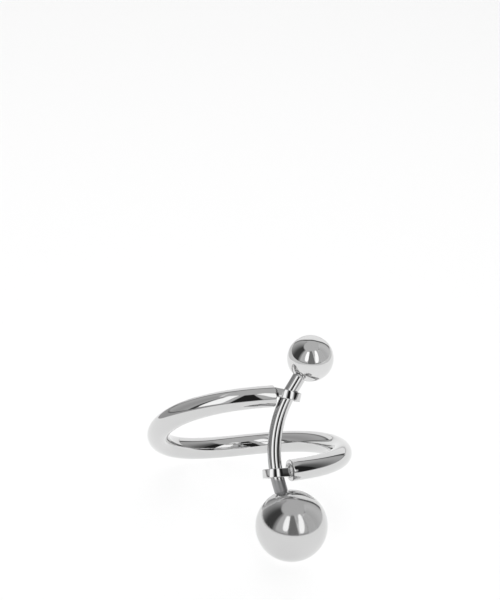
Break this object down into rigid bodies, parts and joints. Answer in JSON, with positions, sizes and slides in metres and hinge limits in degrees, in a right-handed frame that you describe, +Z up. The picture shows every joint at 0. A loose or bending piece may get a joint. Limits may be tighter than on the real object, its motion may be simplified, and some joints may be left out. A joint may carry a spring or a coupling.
{
  "type": "silver ring",
  "caption": "Polished finger ring: an open spiral band whose ends carry soldered eyelets, with a bowed bar through them and a round ball on each end of the bar, lying on its side.",
  "frame": {"origin": "bottom centre of the ring's box as it lies at rest on a level surface, on the back of its band and on the large ball", "axes": "+Z up, +Y towards the back of the band (away from the bar and the balls), +X to the right as seen from the bar's side; the finger axis leans 34 degrees from +Z, mostly towards +Y"},
  "size_m": [0.0224, 0.026, 0.0216],
  "materials": {
    "band": "polished silver",
    "bar": "polished silver",
    "small_ball": "polished silver",
    "large_ball": "polished silver"
  },
  "bodies": {
    "root": {"band": "band", "bar": "bar", "small_ball": "small_ball", "large_ball": "large_ball"}
  },
  "joints": []
}
